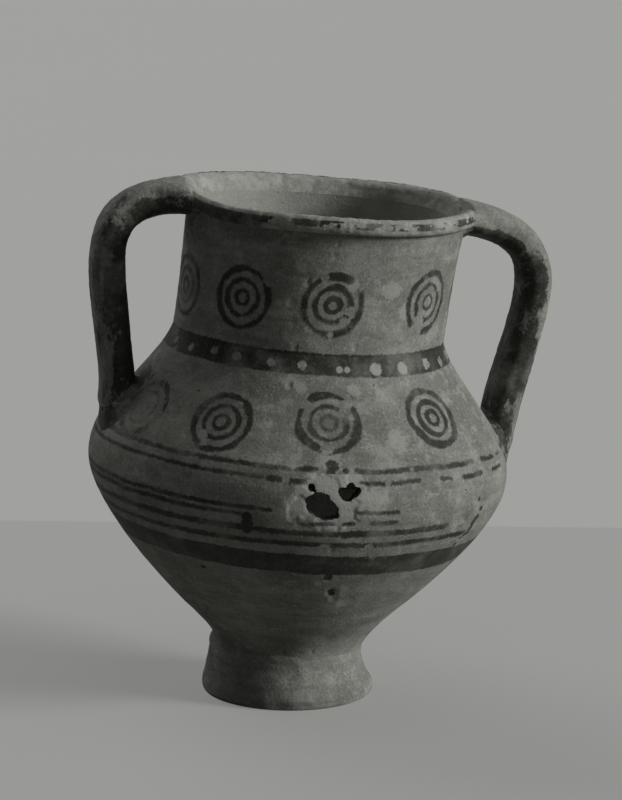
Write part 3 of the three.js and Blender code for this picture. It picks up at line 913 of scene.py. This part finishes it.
# the painter's strokes: angles in degrees round the jar, rises and sizes in mm
brush = {
    "wobble": 0.7, "wobbleSize": 7.0, "ringEdge": 1.15, "pressSize": 12.0, "firm": 0.6,
    "lineEdge": (1.1, -0.9), "lineEnd": (-1.0, 0.8), "bandEdge": (-0.8, 0.7),  # from none to full
    "waver": 1.0, "waverSize": 24.0, "nib": 0.7, "nibSize": 3.0,
    "rags": ((5.0, 5.0, 0.7, 21.0), (1.9, 4.0, 0.7, 67.0)), "ragEdge": (1.2, 0.7),
}
ragged = {"worn": 0.9, "roots": 1.2, "dullDots": 0.6, "blots": 0.5, "dots": 0.35, "dark": 0.3}


def ringPaint(tree, place, spots, radii, widths):
    waver = swing(tree, cloud(tree, place, brush["wobbleSize"]), brush["wobble"])
    gap = calc(tree, "ADD", nearest(tree, place, spots), waver)
    press = cloud(tree, place, brush["pressSize"], 1.0, 0.5, 63.0)  # the brush bears harder here and there
    rings = []
    for radius, width in zip(radii, widths):
        off = calc(tree, "ABSOLUTE", calc(tree, "SUBTRACT", gap, radius))
        edge = calc(tree, "SUBTRACT", off, product(tree, press, width))
        rings.append(ease(tree, edge, brush["ringEdge"], -brush["ringEdge"]))
    return most(tree, rings)


def linePaint(tree, angle, rise, line):
    start, stop, riseStart, riseStop, width = line
    middle = wire(tree, "MapRange", (angle, start, stop, riseStart, riseStop))
    off = calc(tree, "ABSOLUTE", calc(tree, "SUBTRACT", rise, middle))
    across = ease(tree, off, *[width / 2 + edge for edge in brush["lineEdge"]])
    begun = ease(tree, angle, *[start + edge for edge in brush["lineEnd"]])
    ended = ease(tree, angle, *[stop - edge for edge in brush["lineEnd"]])
    return product(tree, across, begun, ended)


def bandEdge(tree, wavy, rise, inside):
    return ease(tree, wavy, *[rise + inside * edge for edge in brush["bandEdge"]])


def patch(tree, place, spots, kind="worn"):
    coarse, fine = [swing(tree, cloud(tree, place, *rag), ragged[kind]) for rag in brush["rags"]]
    edge = calc(tree, "ADD", coarse, fine)
    return ease(tree, calc(tree, "ADD", nearest(tree, place, spots), edge), *brush["ragEdge"])


def brushed(tree, place, rise):
    waver = swing(tree, cloud(tree, place, brush["waverSize"], 2.0, 0.5, 5.0), brush["waver"])
    nib = swing(tree, cloud(tree, place, brush["nibSize"], 3.0, 0.6, 8.0), brush["nib"])
    return calc(tree, "ADD", rise, calc(tree, "ADD", waver, nib))


def without(tree, paint, lost):
    return product(tree, paint, calc(tree, "SUBTRACT", 1.0, lost))


def thicken(tree, place, paint, spots):
    here = product(tree, paint, patch(tree, place, spots))
    return calc(tree, "MULTIPLY_ADD", here, brush["firm"], paint)


neckPaint = {
    "circles": [
        (-172, 175), (-134, 176), (-95.1, 176.9), (-48.5, 177.6), (-10, 177),
        (28, 177), (67, 177), (106, 176), (147, 176),
    ],
    "radii": (13.6, 8.2, 3.3), "widths": (2.7, 2.3, 2.0),
    "bandTop": 154.2, "bareShare": 0.7,
    "thick": [(-95.1, 176.9, 15.0)],  # laid on thicker, so it has lasted better
    "roots": [(180, 208, 13.0), (0, 206, 12.0)],
    "lost": [  # angle, rise, radius
        (-86.4, 186.3, 3.4), (-100.3, 189.4, 1.9), (-87.6, 174.3, 2.8), (-90, 170.2, 2.2),
        (-94.5, 163.2, 1.6), (-53.6, 165.4, 4.6), (-51.6, 170.8, 3.0), (-40.5, 184, 2.4), (-123, 185.5, 2.6),
        (30, 188, 4), (70, 166, 4), (104, 188, 5),
    ],
    "bare": [
        (-112.5, 176.5, 2.4), (-117.5, 176.0, 1.4), (-107.8, 184, 2.0), (-104, 165, 2.0), (-88.0, 186.5, 3.0),
        (-70, 184, 5.0), (-62, 174, 4.0),
    ],
}


def paintNeck(tree, place):
    p = neckPaint
    rise = around(tree, place)[1]
    band = bandEdge(tree, brushed(tree, place, rise), p["bandTop"], -1)
    rings = ringPaint(tree, place, p["circles"], p["radii"], p["widths"])
    roots = patch(tree, place, p["roots"], "roots")
    paint = without(tree, most(tree, [rings, band, roots]), patch(tree, place, p["lost"]))
    paint = thicken(tree, place, paint, p["thick"])
    return paint, product(tree, patch(tree, place, p["bare"]), p["bareShare"])


shoulderPaint = {
    "circles": [
        (-161, 119.3), (-128.3, 121.2), (-94.1, 125.3), (-54.8, 126.4), (28, 124), (61, 124), (94, 123.5),
        (127, 123), (157, 122),
    ],
    "radii": (14.0, 8.5, 3.5), "widths": (3.3, 2.2, 1.9),
    "faded": [(-161, 119, 15.0), (94, 123.5, 14.0)],
    "bandLow": 144.5,
    "dullShare": 0.75, "fadedShare": 0.55, "bareShare": 0.65, "dotShare": 0.8,
    "thick": [(-128.3, 121.2, 13.0), (-54.8, 126.4, 13.0)],
    "dots": [(-73.6, 147.6, 3.3), (-60.4, 147.6, 3.2), (-89.0, 147.4, 1.7), (-86.0, 147.4, 1.7)],
    "dullDots": [
        (-171, 148.4, 2.2), (-157.4, 148.2, 2.2), (-143.4, 149.3, 2.5), (-131.9, 148.7, 2.5),
        (-116.9, 148.2, 2.2), (-104.3, 148.5, 2.3), (-45.0, 148.3, 2.9), (-32.2, 147.2, 2.7),
    ],
    "backDots": {"first": -18.0, "step": 13.4, "count": 14, "rise": 148.2, "radius": 2.6},
    "lines": [  # angle from and to, rise from and to, width
        (-200, -97.2, 106.6, 106.4, 1.9), (-86.9, -44.9, 106.4, 106.9, 1.9),
        (-40.7, -32.0, 106.5, 105.6, 1.7), (-28.6, -24.8, 105.8, 105.8, 1.6), (-20, 200, 106.4, 106.8, 1.8),
    ],
    "blots": [(-93.4, 108.2, 3.2), (-94.1, 105.0, 2.5), (-89.7, 106.4, 1.5)],
    "roots": [(180, 124, 14.0), (2, 113, 13.0)],  # paint carried on from the straps
    "lost": [
        (-87.4, 133.1, 2.8), (-101.4, 132.3, 3.0), (-95.0, 114.3, 3.4), (-89.6, 129.4, 2.0),
        (-132.5, 115.4, 2.6), (-131.2, 112.0, 2.2), (-124.5, 129.4, 1.8), (-163, 121, 6.0),
        (-152, 116, 4.0), (-104, 107.6, 2.2),
        (-70, 106.8, 1.4), (18, 130, 5.0), (60, 114, 4.0), (95, 132, 5.0), (130, 122, 4.0),
    ],
    "bare": [
        (-132.5, 115.4, 2.4), (-131.2, 112.0, 1.8), (-108.5, 140.8, 3.5), (-104, 139, 3.0), (-84, 139, 3.0),
        (-94, 110, 6.0), (-74, 137, 3.0), (-72, 118, 6.0),
    ],
}


def paintShoulder(tree, place):
    p, back = shoulderPaint, shoulderPaint["backDots"]
    angle, rise = around(tree, place)
    wavy = brushed(tree, place, rise)
    behind = [(back["first"] + k * back["step"], back["rise"], back["radius"]) for k in range(back["count"])]
    dull = product(tree, patch(tree, place, p["dullDots"] + behind, "dullDots"), p["dullShare"])
    dots = calc(tree, "MAXIMUM", patch(tree, place, p["dots"], "dots"), dull)
    band = without(tree, bandEdge(tree, wavy, p["bandLow"], 1), dots)
    rings = ringPaint(tree, place, p["circles"], p["radii"], p["widths"])
    rings = without(tree, rings, product(tree, patch(tree, place, p["faded"]), p["fadedShare"]))
    lines = [linePaint(tree, angle, wavy, line) for line in p["lines"]]
    blots = patch(tree, place, p["blots"], "blots")
    roots = patch(tree, place, p["roots"], "roots")
    paint = without(tree, most(tree, [rings, band, roots] + lines), patch(tree, place, p["lost"]))
    paint = thicken(tree, place, paint, p["thick"])
    bare = product(tree, patch(tree, place, p["bare"]), p["bareShare"])
    bare = calc(tree, "MAXIMUM", bare, product(tree, dots, p["dotShare"]))
    return calc(tree, "MAXIMUM", paint, blots), bare


bellyPaint = {
    "lines": [
        (-200, -111.5, 101.4, 101.8, 1.5), (-111.0, -101.0, 101.5, 101.1, 2.4),
        (-86.1, -67.6, 101.6, 101.6, 1.7), (-60.9, -56.4, 101.6, 101.6, 1.6),
        (-51.9, -41.7, 101.4, 101.1, 2.0), (-35.7, -27, 100.8, 100.6, 1.6),
        (-18, 200, 101.4, 101.8, 1.7),
        (-200, -108.5, 87.4, 87.0, 1.9), (-200, -116.5, 84.2, 83.4, 1.9),
        (-86.5, -74.6, 88.0, 88.1, 1.6), (-101.2, -86.7, 82.0, 82.6, 1.6), (-82.4, -74.3, 82.8, 83.4, 2.0),
        (-200, -90, 76.2, 77.4, 2.6), (-90, -56.2, 77.4, 78.8, 2.8), (-200, -45.5, 69.2, 72.6, 2.4),
        (-20, 200, 77.0, 76.4, 2.0), (-20, 200, 70.4, 69.6, 1.9), (20, 200, 87.0, 86.8, 1.9),
        (20, 200, 83.6, 84.0, 1.9),
    ],
    "bandLow": 54.8, "bandHigh": 65.2, "bandThick": 1.3, "markThick": 1.7, "bareShare": 0.85,
    "blots": [
        (-115.2, 82.6, 2.6), (-115.2, 79.4, 2.6), (-115.2, 76.4, 2.4), (-90.3, 52.8, 2.0), (-90.4, 55.0, 2.0),
        (-42.6, 80.0, 1.6), (-43.3, 78.6, 1.9), (-43.8, 77.2, 2.1), (-43.8, 74.8, 1.8), (-43.7, 72.4, 1.5),
        (-45.1, 71.2, 1.2), (-46.4, 69.9, 1.1), (-47.0, 66.5, 1.2), (-42.2, 83.9, 1.3), (-44.4, 89.3, 1.1),
    ],
    # dark spots laid in the scar pits: painted shade in the hollows
    "dark": [(-87.4, 44.6, 1.9), (-86.9, 42.9, 1.7), (-132.6, 50.9, 1.5)],
    "roots": [(2, 103, 10.0)],
    "lost": [
        (-105.5, 101.4, 1.8), (-78, 101.6, 1.6), (-91, 82.4, 1.6), (-79, 66.2, 3.0), (-94, 70, 2.5),
        (-81, 70.6, 2.2), (-97.5, 96.5, 3.0),
        (40, 60, 6.0), (90, 76, 6.0), (120, 62, 5.0), (150, 100, 6.0),
    ],
    "bare": [
        (-96, 97, 12.0), (-91, 96, 11.0), (-92, 87, 10.0), (-101, 91, 7.0), (-87, 102, 6.0), (-82, 93, 7.0),
        (-99, 104, 4.0), (-84.6, 42.0, 4.0), (-80.0, 37.6, 4.0), (-84.0, 46.0, 3.0), (-93, 49, 2.0),
    ],
}


def paintBelly(tree, place):
    p = bellyPaint
    angle, rise = around(tree, place)
    wavy = brushed(tree, place, rise)
    lines = [linePaint(tree, angle, wavy, line) for line in p["lines"]]
    above, below = bandEdge(tree, wavy, p["bandLow"], 1), bandEdge(tree, wavy, p["bandHigh"], -1)
    band = product(tree, above, below, p["bandThick"])
    # blots are paint; the dark spots are painted shade in the scar pits
    marks = most(tree, [patch(tree, place, p[kind], kind) for kind in ("blots", "dark")])
    marks = product(tree, marks, p["markThick"])  # thick enough to last; the dark spots are painted shade in the scar pits
    roots = patch(tree, place, p["roots"], "roots")
    paint = without(tree, most(tree, [band, roots] + lines), patch(tree, place, p["lost"]))
    return calc(tree, "MAXIMUM", paint, marks), product(tree, patch(tree, place, p["bare"]), p["bareShare"])


rimPaint = {
    "blotchSize": 8.0, "stretch": (0.75, 0.75, 1.5), "blotches": (0.43, 0.51),
    "left": (-121.0, -134.0), "leftMore": 0.16,  # painted all down its face on the left
    "face": (1.0, 2.2), "roll": (5.4, 4.2), "outer": (66.5, 68.5),  # mm below the crest, and from the axis
    "ridgeInset": 0.4, "ridgeWide": (1.4, 0.7), "ridgeDeep": (1.6, 0.8),
    "ridgeSize": 22.0, "ridgeGaps": (0.40, 0.47), "ridgeFrom": (18.0, 28.0), "ridgeTo": (150.0, 140.0),
    "paleSize": 7.0, "paleFrom": (0.44, 0.60), "pale": 0.35, "paler": 0.65,
}


def paintRim(tree, place):
    p = rimPaint
    angle, rise = around(tree, place)
    down = calc(tree, "SUBTRACT", jar["crest"], rise)
    radius = wire(tree, "VectorMath", (times(tree, place, (1.0, 1.0, 0.0)),), out=1, operation="LENGTH")
    left = ease(tree, angle, *p["left"])
    blotch = cloud(tree, times(tree, place, p["stretch"]), p["blotchSize"], 5.0, 0.64, 17.0)
    blotch = ease(tree, calc(tree, "MULTIPLY_ADD", left, p["leftMore"], blotch), *p["blotches"])
    roll = calc(tree, "MAXIMUM", left, ease(tree, down, *p["roll"]))  # the lip's lower roll is rubbed bare
    hung = product(tree, ease(tree, down, *p["face"]), ease(tree, radius, *p["outer"]), roll, blotch)
    off = calc(tree, "ABSOLUTE", calc(tree, "SUBTRACT", radius, o["crestRadius"] - p["ridgeInset"]))
    ridge = product(tree, ease(tree, off, *p["ridgeWide"]), ease(tree, down, *p["ridgeDeep"]))
    gaps = ease(tree, cloud(tree, place, p["ridgeSize"], 4.0, 0.6, 71.0), *p["ridgeGaps"])
    ridge = product(tree, ridge, gaps, ease(tree, angle, *p["ridgeFrom"]), ease(tree, angle, *p["ridgeTo"]))
    rubbed = ease(tree, cloud(tree, place, p["paleSize"], 6.0, 0.68, 53.0), *p["paleFrom"])
    return calc(tree, "MAXIMUM", hung, ridge), calc(tree, "MULTIPLY_ADD", rubbed, p["paler"], p["pale"])


strapPaint = {
    "blotchSize": 10.0, "stretch": (1.0, 1.0, 0.45), "holds": (0.34, 0.48),
    "face": (0.5, 5.5), "rub": 0.138,  # the outer face is paler: partly rubbed paint, partly painted light on the outer faces
    "top": (52.0, 18.0), "topRub": 0.095,  # most of all on top, in mm along the strap from the lip
    "tip": (12.0, 4.0), "tipFace": (-3.0, 1.0), "tipRub": 0.2,  # and bare where it runs over the lip
    "front": (48.0, 22.0), "frontDrop": 4.5,  # the right strap is bare further down near the lip
}


def paintStrap(tree, place):
    p = strapPaint
    thick, run = wire(tree, "SeparateXYZ", (place,)).node.outputs[1:]
    right = ease(tree, run, strap["apart"] * 0.5, strap["apart"] * 0.6)
    along = calc(tree, "MULTIPLY_ADD", right, -strap["apart"], run)
    blotch = cloud(tree, times(tree, place, p["stretch"]), p["blotchSize"], 6.0, 0.68, 3.0)
    lower = product(tree, right, ease(tree, along, *p["front"]))
    face = ease(tree, calc(tree, "MULTIPLY_ADD", lower, p["frontDrop"], thick), *p["face"])
    top = product(tree, ease(tree, along, *p["top"]), p["topRub"])
    # the paler outer face is partly rubbed paint, partly painted light
    rub = product(tree, face, calc(tree, "ADD", top, p["rub"]))
    tip = product(tree, ease(tree, along, *p["tip"]), ease(tree, thick, *p["tipFace"]))
    rub = calc(tree, "MULTIPLY_ADD", tip, p["tipRub"], rub)
    return ease(tree, calc(tree, "SUBTRACT", blotch, rub), *p["holds"]), None


lutePaint = {
    "blotchSize": 8.0, "holds": (0.38, 0.52), "right": (100.0, 80.0),
    "rightLip": (206.0, 210.0), "lip": (216.0, 220.0), "rub": 0.3,  # pale on the lip and lower down on the right: partly worn paint, partly painted light on the upper and right-hand sides
}


def paintLute(tree, place):
    p = lutePaint
    angle, rise = around(tree, place)
    blotch = cloud(tree, place, p["blotchSize"], 6.0, 0.68, 29.0)
    # paler on top and on the right: partly worn paint, partly painted light
    right = ease(tree, calc(tree, "ABSOLUTE", angle), *p["right"])
    onLip = product(tree, right, ease(tree, rise, *p["rightLip"]))
    rubbed = product(tree, calc(tree, "MAXIMUM", onLip, ease(tree, rise, *p["lip"])), p["rub"])
    return ease(tree, calc(tree, "SUBTRACT", blotch, rubbed), *p["holds"]), None


footPaint = {"smudge": [(-96, -22, 4.0), (-93, -21, 3.0)], "share": 0.6}


def paintFoot(tree, place):
    return product(tree, patch(tree, place, footPaint["smudge"]), footPaint["share"]), None


finishes = {
    "neck": finishClay("painted_neck_clay", paintNeck, within=0.45),
    "shoulder": finishClay("painted_shoulder_clay", paintShoulder),
    "belly": finishClay("painted_belly_clay", paintBelly),
    "rim": finishClay("worn_lip_clay", paintRim),
    "plain": finishClay("bare_buff_clay", paintFoot, worn=0.4),
    "strap": finishClay("rubbed_strap_paint", paintStrap),
    "lute": finishClay("smeared_luting_clay", paintLute),
}
for name, piece in pieces.items():
    if name in finishes:
        finish = finishes[name]
    elif name in handles:
        finish = finishes["strap"]
    else:
        finish = finishes["lute" if " " in name else "plain"]
    piece.data.materials.append(finish)
print("jar: finishes set")


# ground, light and camera
studio = {
    "groundSize": 14.0, "edgeBehind": 0.331,  # the table's far edge, metres behind the jar
    "tableTone": (0.205, 0.208, 0.198, 1), "paperTone": (0.230, 0.233, 0.222, 1),
    "tableGlow": (0.171, 0.173, 0.166, 1), "paperGlow": (0.190, 0.193, 0.185, 1),
    "mist": (3.0, 3.0, 0.5), "mistDeep": 0.95, "rough": 0.9, "gloss": 0.1,  # the paper's faint mottling
    "roomTone": (0.97, 0.98, 1.0, 1), "roomStrength": 0.045, "lampFar": 2.0,
    "key": {"turn": 78.0, "height": 19.5, "strength": 3.3, "softness": 18.0},
    "top": {"turn": 60.0, "height": 72.0, "strength": 0.4, "softness": 60.0},
    "back": {"turn": -140.0, "height": 38.0, "strength": 1.0, "softness": 50.0},
}
view = {
    "turn": -12.0, "height": 12.6, "far": 1.6, "aim": 0.120, "roll": 0.69,
    "lens": 149.4, "sensor": 36.0, "tall": 800, "wide": 622, "aimAcross": 286.18, "aimDown": 447.41,
}


def stageFinish(name, tone, glow):
    material = bpy.data.materials.new(name)
    material.use_nodes = True
    tree = material.node_tree
    shader = tree.nodes["Principled BSDF"]
    mist = wire(tree, "TexNoise", (wire(tree, "TexCoord", out=3), None, *studio["mist"]))
    deeper = tuple(c * studio["mistDeep"] for c in tone[:3]) + (1,)
    tree.links.new(tint(tree, mist, deeper, tone), shader.inputs["Base Color"])
    shader.inputs["Emission Color"].default_value = glow
    rays = wire(tree, "LightPath").node.outputs
    seen = most(tree, [rays["Is Camera Ray"], rays["Is Glossy Ray"], rays["Is Transmission Ray"]])
    tree.links.new(seen, shader.inputs["Emission Strength"])  # pale to look at, without lighting the jar
    shader.inputs["Roughness"].default_value = studio["rough"]
    shader.inputs["Specular IOR Level"].default_value = studio["gloss"]
    return material


def toward(turn, height):
    a, e = math.radians(turn), math.radians(height)
    return Vector((math.sin(a) * math.cos(e), -math.cos(a) * math.cos(e), math.sin(e)))


def makeGround(name, near, far, tone, glow):
    back = -toward(view["turn"], 0)
    side = Vector((-back.y, back.x, 0)) * studio["groundSize"]
    centre = Vector((footMiddle, 0, 0))
    corners = [centre + side * x + back * y for x, y in ((1, near), (-1, near), (-1, far), (1, far))]
    mesh = bpy.data.meshes.new(name)
    mesh.from_pydata([tuple(c) for c in corners], [], [(0, 1, 2, 3)])
    mesh.materials.append(stageFinish(name + "_paper", tone, glow))
    ground = bpy.data.objects.new(name, mesh)
    bpy.context.scene.collection.objects.link(ground)


def makeLamp(name, lamp):
    light = bpy.data.lights.new(name, "SUN")
    light.energy = lamp["strength"]
    light.angle = math.radians(lamp["softness"])
    holder = bpy.data.objects.new(name, light)
    bpy.context.scene.collection.objects.link(holder)
    way = toward(view["turn"] + lamp["turn"], lamp["height"])
    holder.location = Vector((footMiddle, 0, view["aim"])) + way * studio["lampFar"]
    holder.rotation_euler = way.to_track_quat("Z", "Y").to_euler()


def makeRoom():
    world = bpy.data.worlds.new("soft_room")
    world.use_nodes = True
    sky = world.node_tree.nodes["Background"]
    sky.inputs["Color"].default_value = studio["roomTone"]
    sky.inputs["Strength"].default_value = studio["roomStrength"]
    bpy.context.scene.world = world
    bpy.context.scene.view_settings.view_transform = "Standard"


def makeCamera():
    v = view
    lens = bpy.data.cameras.new("photo_camera")
    lens.lens, lens.sensor_width = v["lens"], v["sensor"]
    lens.shift_x = (v["wide"] / 2 - v["aimAcross"]) / v["tall"]
    lens.shift_y = (v["aimDown"] - v["tall"] / 2) / v["tall"]
    camera = bpy.data.objects.new("photo_camera", lens)
    bpy.context.scene.collection.objects.link(camera)
    way = toward(v["turn"], v["height"])
    camera.location = Vector((footMiddle, 0, v["aim"])) + way * v["far"]
    facing = way.to_track_quat("Z", "Y").to_matrix().to_4x4()
    camera.rotation_euler = (facing @ Matrix.Rotation(math.radians(v["roll"]), 4, "Z")).to_euler()
    bpy.context.scene.camera = camera


s = studio
makeGround("table_top", -s["groundSize"], s["edgeBehind"], s["tableTone"], s["tableGlow"])
makeGround("back_paper", s["edgeBehind"], s["groundSize"], s["paperTone"], s["paperGlow"])
for lamp in ("key", "top", "back"):
    makeLamp(lamp + "_lamp", s[lamp])
makeRoom()
makeCamera()
print("jar: ground, light and camera set")
